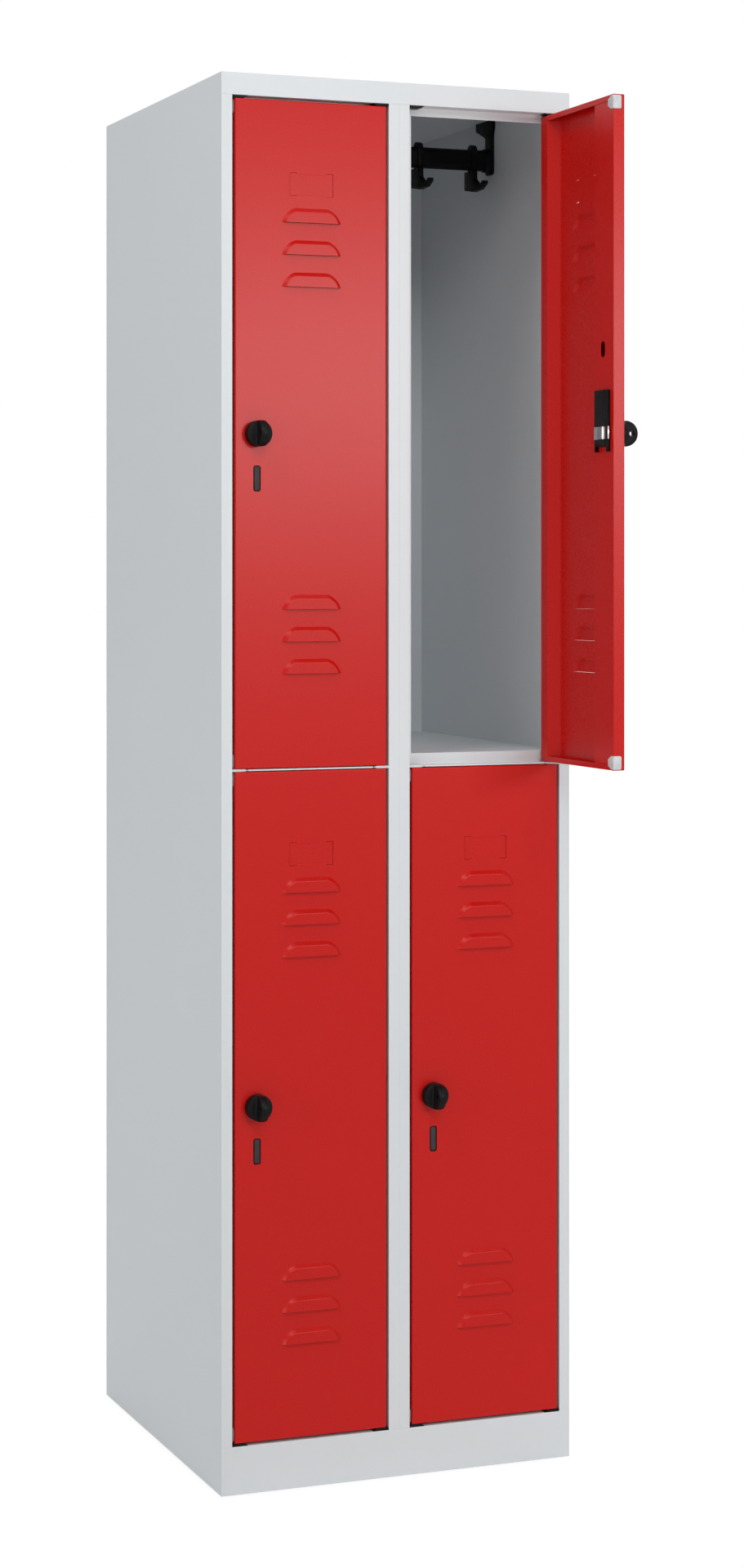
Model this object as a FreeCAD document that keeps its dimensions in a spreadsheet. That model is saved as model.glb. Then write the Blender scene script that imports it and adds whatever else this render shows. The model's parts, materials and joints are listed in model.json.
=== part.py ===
import FreeCAD
import Part
import math
import os
import Sketcher
from FreeCAD import Placement, Rotation, Vector

# Double-tier locker: two columns of two compartments, each behind a hinged door.
# Millimetres, +X to the right, +Y to the back, +Z up.
# The origin is on the floor, at the centre of the carcass.

SIZES = [
    ("overall_height", 1850, "floor to the top of the roof"),
    ("overall_width", 500, "outside the side panels"),
    ("overall_depth", 500, "front of the frame to the back panel"),
    ("sheet", 1, "sheet steel of the carcass and the doors"),
    ("foot_gap", 4, "carcass above the floor with the feet screwed in"),
    ("stile", 15, "front face of an upright"),
    ("header", 29, "front face above the doors"),
    ("plinth", 62.5, "front face below the doors"),
    ("stop_depth", 21, "front face to the back of the door stops"),
    ("lock_stop_depth", 18.1, "front face to the back of the door stops on the lock side"),
    ("stop_lip", 9, "door stop beside the opening"),
    ("header_lip", 11, "door stop below the header"),
    ("fold_round", 0.8, "rounding of a fold in the carcass"),
    ("seam_round", 0.3, "rounding of the folds that meet in the centre post's seam"),
    ("base_flange", 44, "flange that carries the feet"),
    ("floor_step", 11.5, "compartment floor above the plinth"),
    ("floor_flange", 18, "folded edge of the floor pan"),
    ("shelf_rise", 16, "shelf top above the middle of the door gap"),
    ("shelf_flange", 33, "folded edge of a middle shelf"),
    ("nose_setback", 1.5, "shelf nose behind the front face"),
    ("wall_hole_radius", 4, "wall fixing holes in the back panel"),
    ("wall_hole_spread", 360, "between the wall fixing holes"),
    ("wall_hole_drop", 40, "wall fixing holes below the roof"),
    ("door_side_gap", 3.5, "beside a door"),
    ("door_end_gap", 3.75, "above the upper and below the lower doors"),
    ("door_middle_gap", 4, "between an upper and a lower door"),
    ("door_thick", 16, "door, front to back"),
    ("door_round", 1.6, "rounding of a door's front edges"),
    ("hinge_inset", 8, "hinge axis from the door's edge"),
    ("hinge_setback", 8, "hinge axis from the door's front"),
    ("open_angle", 90, "degrees that the upper right door stands open"),
    ("hinge_lip", 18, "box section on the hinge side of a door"),
    ("box_slant", 11, "slanted wall of that box, from its inner edge to its foot"),
    ("end_lip", 7, "inner return at a door's top and bottom"),
    ("pin_radius", 2.5, "hinge pin"),
    ("pin_reach", 6.5, "hinge pin inside a door or behind a flange"),
    ("running_gap", 0.05, "radial clearance of a turning fit"),
    ("louvre_width", 83, "hooded louvre"),
    ("louvre_height", 19, "hooded louvre"),
    ("louvre_rise", 4.6, "hood in front of the door"),
    ("louvre_slope", 4.6, "sloped rim of a hood"),
    ("louvre_crown", 46, "straight top of a hood"),
    ("louvre_bow", 3.3, "bulge of a hood's slanted ends"),
    ("louvre_round", 2, "rounding of a hood's front edges"),
    ("louvre_pitch", 42, "between louvres"),
    ("louvre_drop", 140, "door top to the highest louvre"),
    ("louvre_lift", 123, "door bottom to the lowest louvre"),
    ("label_width", 61, "label holder"),
    ("label_height", 30.5, "label holder"),
    ("label_drop", 93.7, "door top to the label holder"),
    ("label_arm", 9.5, "open corner of the label holder"),
    ("label_step", 1.8, "label holder lower and higher between its corners"),
    ("label_depth", 0.4, "label panel behind the door's face"),
    ("label_slit", 0.4, "slit around the ends of the label panel"),
    ("label_round", 0.3, "rounding above and below the label panel"),
    ("knob_inset", 30.5, "knob axis from the lock edge"),
    ("knob_radius", 17, "turn knob"),
    ("knob_gap", 0.3, "knob in front of the door"),
    ("knob_base", 12, "knob's round base in front of the door"),
    ("knob_reach", 16, "middle of the knob's round end in front of the door"),
    ("knob_scoop", 3, "radius at the root of the two finger scoops"),
    ("knob_fin", 9.5, "fin between the scoops"),
    ("padlock_radius", 3.75, "padlock hole in the fin"),
    ("padlock_reach", 24, "padlock hole in front of the door"),
    ("spindle_radius", 6, "knob spindle"),
    ("drive_radius", 1.8, "drive pin at the end of the spindle"),
    ("drive_throw", 3.8, "drive pin from the spindle's axis"),
    ("drive_gap", 0.4, "drive pin in the bolt's slot"),
    ("slot_width", 10.4, "slot below the knob"),
    ("slot_height", 34, "slot below the knob"),
    ("slot_corner", 3.2, "rounding of that slot's corners"),
    ("slot_drop", 58.3, "middle of the slot below the knob"),
    ("plug_setback", 0.8, "slot plug's edge behind the door's face"),
    ("plug_border", 1.7, "slot plug's edge around its bar"),
    ("plug_bar", 0.2, "slot plug's bar behind the door's face"),
    ("plug_flange", 3, "slot plug's edge behind the door"),
    ("plug_backing", 2, "thickness of that edge"),
    ("stiffener_width", 54, "channel on the lock side"),
    ("stiffener_flange", 10, "channel flange behind the door's face"),
    ("stiffener_gap", 0.6, "channel short of a door's end returns"),
    ("oval_width", 12, "oval hole in the channel"),
    ("oval_height", 21, "oval hole in the channel"),
    ("oval_rise", 109, "oval hole above the knob"),
    ("housing_width", 34, "lock housing"),
    ("housing_shift", 4, "middle of the lock housing from the knob towards the lock edge"),
    ("housing_rise", 55.6, "lock housing above the knob"),
    ("housing_drop", 24.5, "lock housing below the knob"),
    ("housing_rim", 3.3, "lock housing behind the bolt's near face"),
    ("fork_width", 31, "gap between the housing's lower prongs"),
    ("fork_height", 7, "depth of that gap"),
    ("strap_width", 3, "bridge over the bolt"),
    ("strap_thick", 0.8, "bridge over the bolt"),
    ("bolt_height", 16.5, "latch bolt"),
    ("bolt_thick", 2.2, "latch bolt"),
    ("bolt_tail", 13, "latch bolt past the knob's axis"),
    ("bolt_gap", 0.4, "latch bolt behind the door stop"),
    ("bolt_play", 0.3, "latch bolt in its housing"),
    ("bolt_clear", 1, "retracted bolt short of the door stop"),
    ("grip_length", 25, "raised block on the bolt"),
    ("grip_rise", 1.7, "raised block on the bolt"),
    ("grip_slope", 2.5, "sloped end of the raised block"),
    ("cap_width", 15, "corner cap on the inner face"),
    ("cap_height", 17.5, "corner cap"),
    ("cap_inset", 1.2, "corner cap from the door's top or bottom"),
    ("cap_wrap", 11, "corner cap on the lock edge"),
    ("cap_thick", 0.8, "corner cap"),
    ("cap_cut_run", 9, "cut corners of a corner cap, along the inner face"),
    ("cap_cut_rise", 4.6, "cut corners of a corner cap, upright"),
    ("cap_nick", 1.5, "cut corners of a corner cap on the lock edge"),
    ("block_length", 22, "corner block"),
    ("block_depth", 15, "corner block"),
    ("block_thick", 3.2, "corner block"),
    ("block_taper", 5, "sloped end of a corner block"),
    ("rail_height", 30, "coat rail"),
    ("rail_thick", 15, "coat rail"),
    ("rail_wall", 1.5, "coat rail tube"),
    ("rail_drop", 58.5, "middle of the rail below the ceiling"),
    ("bracket_thick", 4, "rail bracket"),
    ("bracket_waist", 22, "rail bracket at the rail"),
    ("bracket_foot", 20, "rail bracket below the rail's middle"),
    ("bracket_flare", 43, "rail bracket behind the rail's middle, at the ceiling"),
    ("bracket_brow", 15, "rail bracket in front of the rail's middle, at the ceiling"),
    ("bracket_edge", 11, "upright edge of the flare"),
    ("bracket_neck", 24, "start of the flare below the ceiling"),
    ("bracket_round", 5, "rounding of the bracket's outline"),
    ("collar_length", 8, "socket of a rail bracket"),
    ("collar_wall", 1.6, "socket of a rail bracket"),
    ("collar_gap", 0.2, "rail in the socket"),
    ("hook_gap", 0.4, "hook ring around the rail"),
    ("hook_wall", 2.4, "hook ring beside the rail"),
    ("hook_crown", 4, "extra height of the ring above the rail"),
    ("hook_width", 7.5, "hook along the rail"),
    ("hook_pitch", 84, "between the hooks of a rail"),
    ("hook_shift", 10.5, "hooks to the right of the compartment's middle"),
    ("hook_fall", 46.5, "hook below the rail's middle"),
    ("hook_heel", 41.5, "hook's rear corner below the rail's middle"),
    ("hook_back", 19, "hook behind the rail's middle"),
    ("hook_reach", 46, "hook in front of the rail's middle"),
    ("hook_tip", 34, "tip of the prong below the rail's middle"),
    ("hook_lean", 28, "start of the throat's slope below the rail's middle"),
    ("hook_throat", 41, "throat below the rail's middle"),
    ("hook_prong", 4.5, "thickness of the prong's tip"),
    ("hook_round", 1.8, "rounding of the hook's outline"),
    ("foot_inset", 24, "foot from the carcass sides"),
    ("foot_radius", 12, "foot's disc"),
    ("foot_play", 0.3, "foot's disc below the flange"),
    ("stud_radius", 5, "foot's stud"),
    ("stud_length", 34, "foot's stud"),
    ("stud_hole_gap", 0.5, "stud in its flange hole"),
    ("nut_radius", 9, "weld nut"),
    ("nut_height", 9, "weld nut"),
]

DOORS = ("upper_left", "lower_left", "upper_right", "lower_right")
OPEN_DOOR = "upper_right"
HOOK_PLACES = {"left": -1, "middle": 0, "right": 1}
FOOT_PLACES = {"front_left": (-1, -1), "front_right": (1, -1), "rear_left": (-1, 1), "rear_right": (1, 1)}
HALF_TURN = 180
ALONG_X = Vector(1, 0, 0)
ALONG_Y = Vector(0, 1, 0)
ALONG_Z = Vector(0, 0, 1)
NEAR = 1e-4

doc = FreeCAD.newDocument("double_tier_locker")
sheet_of_sizes = doc.addObject("Spreadsheet::Sheet", "Sizes")
for row, (alias, number, note) in enumerate(SIZES, 1):
    sheet_of_sizes.set(f"A{row}", alias)
    sheet_of_sizes.set(f"B{row}", str(number))
    sheet_of_sizes.setAlias(f"B{row}", alias)
    sheet_of_sizes.set(f"C{row}", note)
doc.recompute()


class Size:
    """A length as its number now and as the spreadsheet expression that drives it."""

    def __init__(self, number, text):
        self.number = number
        self.text = text

    def __add__(self, other):
        other = as_size(other)
        return Size(self.number + other.number, f"({self.text} + {other.text})")

    __radd__ = __add__

    def __sub__(self, other):
        other = as_size(other)
        return Size(self.number - other.number, f"({self.text} - {other.text})")

    def __rsub__(self, other):
        return as_size(other) - self

    def __mul__(self, other):
        other = as_size(other)
        return Size(self.number * other.number, f"({self.text} * {other.text})")

    __rmul__ = __mul__

    def __truediv__(self, other):
        other = as_size(other)
        return Size(self.number / other.number, f"({self.text} / {other.text})")

    def __neg__(self):
        return 0 - self


def as_size(value):
    """A Size from a Size or a plain number."""
    if isinstance(value, Size):
        return value
    return Size(float(value), f"{float(value):.6f}")


def cell(alias):
    """The Size of a spreadsheet cell."""
    return Size(float(sheet_of_sizes.get(alias)), f"Sizes.{alias}")


def square_root(size):
    """The Size that is the square root of another."""
    return Size(math.sqrt(size.number), f"sqrt({size.text})")


def bind(thing, path, size):
    """Drive a property of a document object by a Size."""
    thing.setExpression(path, as_size(size).text)


# Driving sizes
height = cell("overall_height")
half_width = cell("overall_width") / 2
half_depth = cell("overall_depth") / 2
sheet = cell("sheet")
foot_gap = cell("foot_gap")
stile = cell("stile")
stop_depth = cell("stop_depth")
lock_stop_depth = cell("lock_stop_depth")
stop_lip = cell("stop_lip")
side_gap = cell("door_side_gap")
end_gap = cell("door_end_gap")
middle_gap = cell("door_middle_gap")
door_thick = cell("door_thick")
hinge_inset = cell("hinge_inset")
hinge_setback = cell("hinge_setback")
pin_radius = cell("pin_radius")
running_gap = cell("running_gap")

# Planes of the carcass
front = -half_depth
stop_back = front + stop_depth
inner_back = half_depth - sheet
inner_half = half_width - sheet
ceiling = height - sheet
plinth_top = foot_gap + cell("plinth")
header_bottom = height - cell("header")
floor_top = plinth_top + cell("floor_step")
inner_length = 2 * inner_half

# Doors and their hinge axes
opening_height = header_bottom - plinth_top
door_height = (opening_height - 2 * end_gap - middle_gap) / 2
door_width = half_width - 2 * stile - 2 * side_gap
gap_middle = plinth_top + opening_height / 2
hinge_y = front + hinge_setback
hinge_x = {
    "left": -stile - side_gap - hinge_inset,
    "right": half_width - stile - side_gap - hinge_inset,
}
opening_edges = {
    "left": (-half_width + stile, -stile),
    "right": (stile, half_width - stile),
}
bay_walls = {"left": (-inner_half, -sheet), "right": (sheet, inner_half)}
bay_length = half_width - 2 * sheet
door_bottom = {"lower": plinth_top + end_gap, "upper": gap_middle + middle_gap / 2}

# Planes of a door, measured from its hinge axis and its lower edge
lock_edge = hinge_inset - door_width
hinge_edge = hinge_inset
face = -hinge_setback
face_back = face + sheet
inner_face = door_thick - hinge_setback
door_centre = (lock_edge + hinge_edge) / 2
knob_x = lock_edge + cell("knob_inset")
knob_z = door_height / 2
stop_edge = lock_edge - side_gap + stop_lip

# Shelves, rails and hooks
shelf_top = gap_middle + cell("shelf_rise")
compartment_ceiling = {"upper": ceiling, "lower": shelf_top - sheet}
rail_radius = cell("rail_thick") / 2
rail_straight = cell("rail_height") / 2 - rail_radius

nodes = {}


def new_body(name):
    """An empty PartDesign body."""
    body = doc.addObject("PartDesign::Body", name)
    body.Label = name
    return body


def keep(label, thing):
    """Register a document object as the sub-part called label."""
    thing.Label = label
    nodes[label] = thing
    return thing


def sketch_on(body, role, at, origin=(0, 0)):
    """A sketch on a plane parallel to one of the body's origin planes.

    at is the plane's place along its axis, and origin moves the sketch's own zero within the plane.
    The sketch's axes are X and Y on XY_Plane, X and Z on XZ_Plane, and Y and Z on YZ_Plane.
    """
    sketch = body.newObject("Sketcher::SketchObject", f"{body.Name}_sketch")
    plane = next(feature for feature in body.Origin.OriginFeatures if feature.Role == role)
    sketch.AttachmentSupport = [(plane, "")]
    sketch.MapMode = "FlatFace"
    bind(sketch, "AttachmentOffset.Base.z", -as_size(at) if role == "XZ_Plane" else at)
    bind(sketch, "AttachmentOffset.Base.x", origin[0])
    bind(sketch, "AttachmentOffset.Base.y", origin[1])
    return sketch


def fix_place(sketch, geometry, point, x, y):
    """Hold one point of a sketch by two dimensions from its zero."""
    for kind, size in (("DistanceX", x), ("DistanceY", y)):
        if size is None:
            continue
        size = as_size(size)
        number = sketch.addConstraint(Sketcher.Constraint(kind, -1, 1, geometry, point, size.number))
        bind(sketch, f"Constraints[{number}]", size)


def draw(sketch, corners):
    """A closed outline through corners, listed counter-clockwise.

    A corner is (x, y), or (x, y, centre) where an outward arc about centre leads to the next corner.
    """
    first = sketch.GeometryCount
    count = len(corners)
    spots = [Vector(as_size(c[0]).number, as_size(c[1]).number, 0) for c in corners]
    centres = {}
    for index, corner in enumerate(corners):
        start = spots[index]
        end = spots[(index + 1) % count]
        if len(corner) == 2:
            sketch.addGeometry(Part.LineSegment(start, end), False)
            continue
        centre = Vector(as_size(corner[2][0]).number, as_size(corner[2][1]).number, 0)
        circle = Part.Circle(centre, ALONG_Z, (start - centre).Length)
        turn_from = math.atan2(start.y - centre.y, start.x - centre.x)
        turn_to = math.atan2(end.y - centre.y, end.x - centre.x)
        if turn_to <= turn_from:
            turn_to += 2 * math.pi
        sketch.addGeometry(Part.ArcOfCircle(circle, turn_from, turn_to), False)
        level = abs(start.y - end.y) < NEAR
        centres[first + index] = (None, corner[2][1]) if level else (corner[2][0], None)
    for index in range(count):
        after = first + (index + 1) % count
        sketch.addConstraint(Sketcher.Constraint("Coincident", first + index, 2, after, 1))
    for index, corner in enumerate(corners):
        fix_place(sketch, first + index, 1, corner[0], corner[1])
    for geometry, (x, y) in centres.items():
        fix_place(sketch, geometry, 3, x, y)


def draw_box(sketch, x0, y0, x1, y1):
    """A rectangle between two corners."""
    draw(sketch, [(x0, y0), (x1, y0), (x1, y1), (x0, y1)])


def draw_circle(sketch, x, y, radius):
    """A circle about a point."""
    radius = as_size(radius)
    spot = Vector(as_size(x).number, as_size(y).number, 0)
    circle = sketch.addGeometry(Part.Circle(spot, ALONG_Z, radius.number), False)
    fix_place(sketch, circle, 3, x, y)
    number = sketch.addConstraint(Sketcher.Constraint("Radius", circle, radius.number))
    bind(sketch, f"Constraints[{number}]", radius)


def draw_oval(sketch, x, y, radius, straight):
    """An upright oval: half circles of radius, above and below sides of twice straight."""
    draw(
        sketch,
        [
            (x + radius, y + straight, (x, y + straight)),
            (x - radius, y + straight),
            (x - radius, y - straight, (x, y - straight)),
            (x + radius, y - straight),
        ],
    )


def draw_slot(sketch, x, y, margin):
    """The outline of the slot below the knob, centred at x and y and widened all round by margin."""
    half = cell("slot_width") / 2 + margin
    top = cell("slot_height") / 2 + margin
    radius = cell("slot_corner") + margin
    side = half - radius
    rise = top - radius
    draw(
        sketch,
        [
            (x + half, y + rise, (x + side, y + rise)),
            (x + side, y + top),
            (x - side, y + top, (x - side, y + rise)),
            (x - half, y + rise),
            (x - half, y - rise, (x - side, y - rise)),
            (x - side, y - top),
            (x + side, y - top, (x + side, y - rise)),
            (x + half, y - rise),
        ],
    )


def pad(body, sketch, length, backwards=False):
    """Material from a sketch, along the plane's normal or backwards."""
    feature = body.newObject("PartDesign::Pad", f"{body.Name}_pad")
    feature.Profile = sketch
    bind(feature, "Length", length)
    feature.Reversed = backwards
    doc.recompute()
    return feature


def pocket(body, sketch, length, backwards=False):
    """A cut from a sketch, against the plane's normal or backwards."""
    before = body.Tip.Shape.Volume
    feature = body.newObject("PartDesign::Pocket", f"{body.Name}_pocket")
    feature.Profile = sketch
    bind(feature, "Length", length)
    feature.Reversed = backwards
    doc.recompute()
    if feature.Shape.Volume > before - NEAR:
        raise RuntimeError(f"{feature.Name} cuts nothing")
    return feature


def loft(body, kind, sketch, far_sketch):
    """A ruled additive or subtractive loft between two sketches."""
    feature = body.newObject(f"PartDesign::{kind}", f"{body.Name}_loft")
    feature.Profile = sketch
    feature.Sections = [far_sketch]
    feature.Ruled = True
    doc.recompute()
    return feature


def round_edges(body, radius, wanted):
    """Fillet the edges of the body's tip that wanted accepts."""
    tip = body.Tip
    names = [f"Edge{number}" for number, edge in enumerate(tip.Shape.Edges, 1) if wanted(edge)]
    if not names:
        raise RuntimeError(f"{body.Name} has no such edge to round")
    feature = body.newObject("PartDesign::Fillet", f"{body.Name}_round")
    feature.Base = (tip, names)
    bind(feature, "Radius", radius)
    doc.recompute()
    return feature


def lies_at(edge, x=None, y=None, z=None):
    """Whether every end of an edge has the given coordinates."""
    for axis, size in (("x", x), ("y", y), ("z", z)):
        if size is None:
            continue
        number = as_size(size).number
        if any(abs(getattr(end.Point, axis) - number) >= NEAR for end in edge.Vertexes):
            return False
    return True


def instance(source, spot, turn=None):
    """A placed copy of a modelled piece."""
    copy = doc.addObject("Part::Compound", f"{source.Name}_copy")
    copy.Links = [source]
    copy.Placement = Placement(Vector(), turn or Rotation())
    for axis, size in zip("xyz", spot):
        bind(copy, f"Placement.Base.{axis}", size)
    return copy


def group(label, copies):
    """Alike pieces kept as one sub-part."""
    together = doc.addObject("Part::Compound", label)
    together.Links = copies
    return keep(label, together)


def upright(label, flush, inward, wall, stop, corner_round):
    """A folded wall with its stile and door stop.

    flush is the x of the wall's outer face, and inward the direction of its opening.
    wall holds the y and z limits of the flat wall, and stop is the depth of the door stop.
    corner_round rounds the fold between the wall and its stile.
    """
    body = new_body(label)

    def across(distance):
        return flush + inward * as_size(distance)

    fold = sketch_on(body, "XY_Plane", plinth_top)
    lip_back = front + stop
    lip_front = lip_back - sheet
    corners = [
        (across(0), front),
        (across(stile), front),
        (across(stile), lip_front),
        (across(stile + stop_lip), lip_front),
        (across(stile + stop_lip), lip_back),
        (across(stile - sheet), lip_back),
        (across(stile - sheet), front + sheet),
        (across(sheet), front + sheet),
        (across(sheet), stop_back),
        (across(0), stop_back),
    ]
    draw(fold, corners)
    pad(body, fold, opening_height)
    flat = sketch_on(body, "XY_Plane", wall["bottom"])
    draw_box(flat, across(0), wall["front"], across(sheet), wall["back"])
    pad(body, flat, wall["top"] - wall["bottom"])

    def folded(edge, at):
        return lies_at(edge, x=across(at), y=front) and edge.Length > stop_depth.number

    round_edges(body, corner_round, lambda edge: folded(edge, 0))
    round_edges(body, cell("fold_round"), lambda edge: folded(edge, stile))
    return keep(label, body)


def pin_holes(body, at, backwards):
    """Holes for the hinge pins through a flange at height at."""
    holes = sketch_on(body, "XY_Plane", at)
    for x in hinge_x.values():
        draw_circle(holes, x, hinge_y, pin_radius)
    pocket(body, holes, sheet, backwards)


def foot_holes(body, y):
    """Holes for two feet through a base flange."""
    holes = sketch_on(body, "XY_Plane", foot_gap + sheet)
    for side in (-1, 1):
        x = side * (half_width - cell("foot_inset"))
        draw_circle(holes, x, y, cell("stud_radius") + cell("stud_hole_gap"))
    pocket(body, holes, sheet)


def top_panel():
    """Roof sheet folded down into the header, its flange and its door stop."""
    body = new_body("top_panel")
    fold = sketch_on(body, "YZ_Plane", -inner_half)
    lip_bottom = header_bottom - cell("header_lip")
    corners = [
        (half_depth, height),
        (front, height),
        (front, header_bottom),
        (stop_back - sheet, header_bottom),
        (stop_back - sheet, lip_bottom),
        (stop_back, lip_bottom),
        (stop_back, header_bottom + sheet),
        (front + sheet, header_bottom + sheet),
        (front + sheet, ceiling),
        (half_depth, ceiling),
    ]
    draw(fold, corners)
    pad(body, fold, inner_length)
    notches = sketch_on(body, "XZ_Plane", stop_back)
    edge = half_width - stile - stop_lip
    for x0, x1 in ((-half_width, -edge), (-stile - stop_lip, stile + stop_lip), (edge, half_width)):
        draw_box(notches, x0, lip_bottom - sheet, x1, header_bottom)
    pocket(body, notches, sheet, True)
    pin_holes(body, header_bottom, True)
    round_edges(
        body,
        cell("fold_round"),
        lambda edge: any(lies_at(edge, y=front, z=z) for z in (header_bottom, height)),
    )
    return keep("top_panel", body)


def plinth_panel():
    """Folded channel below the doors, with the flange for the front feet."""
    body = new_body("plinth_panel")
    fold = sketch_on(body, "YZ_Plane", -inner_half)
    flange_back = front + cell("base_flange")
    corners = [
        (front, foot_gap),
        (flange_back, foot_gap),
        (flange_back, foot_gap + sheet),
        (front + sheet, foot_gap + sheet),
        (front + sheet, plinth_top - sheet),
        (stop_back, plinth_top - sheet),
        (stop_back, plinth_top),
        (front, plinth_top),
    ]
    draw(fold, corners)
    pad(body, fold, inner_length)
    pin_holes(body, plinth_top, False)
    foot_holes(body, front + cell("foot_inset"))
    round_edges(
        body,
        cell("fold_round"),
        lambda edge: any(lies_at(edge, y=front, z=z) for z in (foot_gap, plinth_top)),
    )
    return keep("plinth_panel", body)


def back_panel():
    """Flat back sheet with the wall fixing holes and the flange for the rear feet."""
    body = new_body("back_panel")
    fold = sketch_on(body, "YZ_Plane", -inner_half)
    flange_front = half_depth - cell("base_flange")
    corners = [
        (flange_front, foot_gap),
        (half_depth, foot_gap),
        (half_depth, ceiling),
        (inner_back, ceiling),
        (inner_back, foot_gap + sheet),
        (flange_front, foot_gap + sheet),
    ]
    draw(fold, corners)
    pad(body, fold, inner_length)
    holes = sketch_on(body, "XZ_Plane", half_depth)
    for side in (-1, 1):
        spread = side * cell("wall_hole_spread") / 2
        draw_circle(holes, spread, height - cell("wall_hole_drop"), cell("wall_hole_radius"))
    pocket(body, holes, sheet, True)
    foot_holes(body, half_depth - cell("foot_inset"))
    return keep("back_panel", body)


def tray(label, left, length, top, flange):
    """A flat shelf with its front and back edges folded down."""
    body = new_body(label)
    fold = sketch_on(body, "YZ_Plane", left)
    corners = [
        (stop_back, top - flange),
        (stop_back + sheet, top - flange),
        (stop_back + sheet, top - sheet),
        (inner_back - sheet, top - sheet),
        (inner_back - sheet, top - flange),
        (inner_back, top - flange),
        (inner_back, top),
        (stop_back, top),
    ]
    draw(fold, corners)
    pad(body, fold, length)
    round_edges(body, cell("fold_round"), lambda edge: lies_at(edge, y=stop_back, z=top))
    return keep(label, body)


def middle_shelf(column):
    """A shelf with a nose of doubled sheet that reaches into the gap between the doors."""
    left, right = bay_walls[column]
    body = tray(f"middle_shelf_{column}", left, right - left, shelf_top, cell("shelf_flange"))
    nose = sketch_on(body, "XZ_Plane", stop_back)
    clear = cell("block_length")
    edge_left, edge_right = opening_edges[column]
    draw_box(nose, edge_left + clear, gap_middle - sheet, edge_right - clear, gap_middle + sheet)
    pad(body, nose, stop_depth - cell("nose_setback"))


def corner_block(name, both_sides, bored):
    """A block that hangs in a door gap with its root on the stile: x runs into the opening, z down from 0."""
    body = new_body(name)
    half = cell("block_depth") / 2
    length = cell("block_length")
    thick = cell("block_thick")
    taper = length - cell("block_taper")
    outline = sketch_on(body, "XZ_Plane", -half)
    if both_sides:
        corners = [(0, -thick / 2), (taper, -thick / 2), (length, 0), (taper, thick / 2), (0, thick / 2)]
    else:
        corners = [(0, -thick), (taper, -thick), (length, 0), (0, 0)]
    draw(outline, corners)
    pad(body, outline, 2 * half, True)
    if bored:
        hole = sketch_on(body, "XY_Plane", thick)
        draw_circle(hole, side_gap + hinge_inset, 0, pin_radius)
        pocket(body, hole, 2 * thick)
    return body


def corner_blocks():
    """Black blocks at the corners of each opening and light blocks in the gap between its doors."""
    lock_block = corner_block("lock_corner_block", False, False)
    hinge_block = corner_block("hinge_corner_block", False, True)
    lock_wedge = corner_block("lock_gap_wedge", True, False)
    hinge_wedge = corner_block("hinge_gap_wedge", True, True)
    black = []
    light = []
    for lock_x, hinge_side_x in opening_edges.values():
        black.append(instance(lock_block, (lock_x, hinge_y, header_bottom)))
        black.append(instance(lock_block, (lock_x, hinge_y, plinth_top), Rotation(ALONG_X, HALF_TURN)))
        turned = Rotation(ALONG_Z, HALF_TURN)
        black.append(instance(hinge_block, (hinge_side_x, hinge_y, header_bottom), turned))
        over = Rotation(ALONG_Y, HALF_TURN)
        black.append(instance(hinge_block, (hinge_side_x, hinge_y, plinth_top), over))
        light.append(instance(lock_wedge, (lock_x, hinge_y, gap_middle)))
        light.append(instance(hinge_wedge, (hinge_side_x, hinge_y, gap_middle), turned))
    group("frame_corner_blocks", black)
    group("shelf_corner_blocks", light)


def hinge_pin(x, bottom, top):
    """An upright pin between two heights on a hinge axis."""
    pin = doc.addObject("Part::Cylinder", "hinge_pin")
    bind(pin, "Radius", pin_radius)
    bind(pin, "Height", top - bottom)
    for axis, size in zip("xyz", (x, hinge_y, bottom)):
        bind(pin, f"Placement.Base.{axis}", size)
    return pin


def hinge_pins():
    """Pins in the header, in the light blocks and in the plinth of each column."""
    reach = cell("pin_reach")
    pins = []
    for x in hinge_x.values():
        pins.append(hinge_pin(x, header_bottom - end_gap - reach, header_bottom + reach))
        pins.append(hinge_pin(x, gap_middle - middle_gap / 2 - reach, gap_middle + middle_gap / 2 + reach))
        pins.append(hinge_pin(x, plinth_top - reach, plinth_top + end_gap + reach))
    group("hinge_pins", pins)


def draw_hood(sketch, rim):
    """A louvre's outline with slanted, bowed ends, drawn in by rim at its top and sides."""
    half = cell("louvre_width") / 2 - rim
    top = cell("louvre_height") - rim
    crown = cell("louvre_crown") / 2
    bow = cell("louvre_bow") * top / cell("louvre_height")
    run = half - crown
    chord = square_root(run * run + top * top)
    lean = (chord * chord / 4 - bow * bow) / (2 * bow * chord)
    centre_x = (half + crown) / 2 - top * lean
    centre_z = top / 2 - run * lean
    corners = [
        (-half, 0),
        (half, 0, (centre_x, centre_z)),
        (crown, top),
        (-crown, top, (-centre_x, centre_z)),
    ]
    draw(sketch, corners)


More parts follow.
